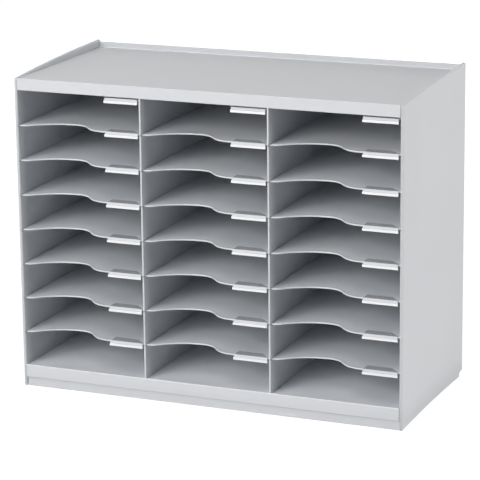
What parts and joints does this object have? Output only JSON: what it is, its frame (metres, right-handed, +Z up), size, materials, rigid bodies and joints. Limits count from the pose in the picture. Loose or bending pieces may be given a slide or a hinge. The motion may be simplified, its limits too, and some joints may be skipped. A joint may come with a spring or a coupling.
{
  "type": "pigeonhole mail sorter",
  "caption": "Free-standing plastic mail sorter with columns of flat pull-out shelves, a finger scoop in each shelf and a label holder over each compartment.",
  "frame": {"origin": "on the floor, under the middle of the case", "axes": "+X to the right seen from the front, +Y to the rear, +Z up"},
  "size_m": [0.674, 0.314, 0.54],
  "materials": {
    "case": "satin moulded polystyrene, light grey",
    "back": "matt extruded sheet, light grey",
    "shelf": "satin moulded polystyrene, light grey",
    "label": "glossy, white"
  },
  "bodies": {
    "case": {"left_side_panel": "case", "right_side_panel": "case", "left_divider": "case", "right_divider": "case", "top_tray": "case", "base_tray": "case", "back_panel": "back", "label_holder_c1_r1": "label", "label_holder_c2_r1": "label", "label_holder_c3_r1": "label"},
    "sliding_shelf_c1_r1": {"shelf_c1_r1": "shelf", "label_holder_c1_r2": "label"},
    "sliding_shelf_c1_r2": {"shelf_c1_r2": "shelf", "label_holder_c1_r3": "label"},
    "sliding_shelf_c1_r3": {"shelf_c1_r3": "shelf", "label_holder_c1_r4": "label"},
    "sliding_shelf_c1_r4": {"shelf_c1_r4": "shelf", "label_holder_c1_r5": "label"},
    "sliding_shelf_c1_r5": {"shelf_c1_r5": "shelf", "label_holder_c1_r6": "label"},
    "sliding_shelf_c1_r6": {"shelf_c1_r6": "shelf", "label_holder_c1_r7": "label"},
    "sliding_shelf_c1_r7": {"shelf_c1_r7": "shelf", "label_holder_c1_r8": "label"},
    "sliding_shelf_c2_r1": {"shelf_c2_r1": "shelf", "label_holder_c2_r2": "label"},
    "sliding_shelf_c2_r2": {"shelf_c2_r2": "shelf", "label_holder_c2_r3": "label"},
    "sliding_shelf_c2_r3": {"shelf_c2_r3": "shelf", "label_holder_c2_r4": "label"},
    "sliding_shelf_c2_r4": {"shelf_c2_r4": "shelf", "label_holder_c2_r5": "label"},
    "sliding_shelf_c2_r5": {"shelf_c2_r5": "shelf", "label_holder_c2_r6": "label"},
    "sliding_shelf_c2_r6": {"shelf_c2_r6": "shelf", "label_holder_c2_r7": "label"},
    "sliding_shelf_c2_r7": {"shelf_c2_r7": "shelf", "label_holder_c2_r8": "label"},
    "sliding_shelf_c3_r1": {"shelf_c3_r1": "shelf", "label_holder_c3_r2": "label"},
    "sliding_shelf_c3_r2": {"shelf_c3_r2": "shelf", "label_holder_c3_r3": "label"},
    "sliding_shelf_c3_r3": {"shelf_c3_r3": "shelf", "label_holder_c3_r4": "label"},
    "sliding_shelf_c3_r4": {"shelf_c3_r4": "shelf", "label_holder_c3_r5": "label"},
    "sliding_shelf_c3_r5": {"shelf_c3_r5": "shelf", "label_holder_c3_r6": "label"},
    "sliding_shelf_c3_r6": {"shelf_c3_r6": "shelf", "label_holder_c3_r7": "label"},
    "sliding_shelf_c3_r7": {"shelf_c3_r7": "shelf", "label_holder_c3_r8": "label"}
  },
  "joints": [
    {"name": "slide_c1_r1", "type": "slide", "parent": "case", "child": "sliding_shelf_c1_r1", "axis": [0, -1, 0], "range_m": [0, 0.29]},
    {"name": "slide_c1_r2", "type": "slide", "parent": "case", "child": "sliding_shelf_c1_r2", "axis": [0, -1, 0], "range_m": [0, 0.29]},
    {"name": "slide_c1_r3", "type": "slide", "parent": "case", "child": "sliding_shelf_c1_r3", "axis": [0, -1, 0], "range_m": [0, 0.29]},
    {"name": "slide_c1_r4", "type": "slide", "parent": "case", "child": "sliding_shelf_c1_r4", "axis": [0, -1, 0], "range_m": [0, 0.29]},
    {"name": "slide_c1_r5", "type": "slide", "parent": "case", "child": "sliding_shelf_c1_r5", "axis": [0, -1, 0], "range_m": [0, 0.29]},
    {"name": "slide_c1_r6", "type": "slide", "parent": "case", "child": "sliding_shelf_c1_r6", "axis": [0, -1, 0], "range_m": [0, 0.29]},
    {"name": "slide_c1_r7", "type": "slide", "parent": "case", "child": "sliding_shelf_c1_r7", "axis": [0, -1, 0], "range_m": [0, 0.29]},
    {"name": "slide_c2_r1", "type": "slide", "parent": "case", "child": "sliding_shelf_c2_r1", "axis": [0, -1, 0], "range_m": [0, 0.29]},
    {"name": "slide_c2_r2", "type": "slide", "parent": "case", "child": "sliding_shelf_c2_r2", "axis": [0, -1, 0], "range_m": [0, 0.29]},
    {"name": "slide_c2_r3", "type": "slide", "parent": "case", "child": "sliding_shelf_c2_r3", "axis": [0, -1, 0], "range_m": [0, 0.29]},
    {"name": "slide_c2_r4", "type": "slide", "parent": "case", "child": "sliding_shelf_c2_r4", "axis": [0, -1, 0], "range_m": [0, 0.29]},
    {"name": "slide_c2_r5", "type": "slide", "parent": "case", "child": "sliding_shelf_c2_r5", "axis": [0, -1, 0], "range_m": [0, 0.29]},
    {"name": "slide_c2_r6", "type": "slide", "parent": "case", "child": "sliding_shelf_c2_r6", "axis": [0, -1, 0], "range_m": [0, 0.29]},
    {"name": "slide_c2_r7", "type": "slide", "parent": "case", "child": "sliding_shelf_c2_r7", "axis": [0, -1, 0], "range_m": [0, 0.29]},
    {"name": "slide_c3_r1", "type": "slide", "parent": "case", "child": "sliding_shelf_c3_r1", "axis": [0, -1, 0], "range_m": [0, 0.29]},
    {"name": "slide_c3_r2", "type": "slide", "parent": "case", "child": "sliding_shelf_c3_r2", "axis": [0, -1, 0], "range_m": [0, 0.29]},
    {"name": "slide_c3_r3", "type": "slide", "parent": "case", "child": "sliding_shelf_c3_r3", "axis": [0, -1, 0], "range_m": [0, 0.29]},
    {"name": "slide_c3_r4", "type": "slide", "parent": "case", "child": "sliding_shelf_c3_r4", "axis": [0, -1, 0], "range_m": [0, 0.29]},
    {"name": "slide_c3_r5", "type": "slide", "parent": "case", "child": "sliding_shelf_c3_r5", "axis": [0, -1, 0], "range_m": [0, 0.29]},
    {"name": "slide_c3_r6", "type": "slide", "parent": "case", "child": "sliding_shelf_c3_r6", "axis": [0, -1, 0], "range_m": [0, 0.29]},
    {"name": "slide_c3_r7", "type": "slide", "parent": "case", "child": "sliding_shelf_c3_r7", "axis": [0, -1, 0], "range_m": [0, 0.29]}
  ]
}
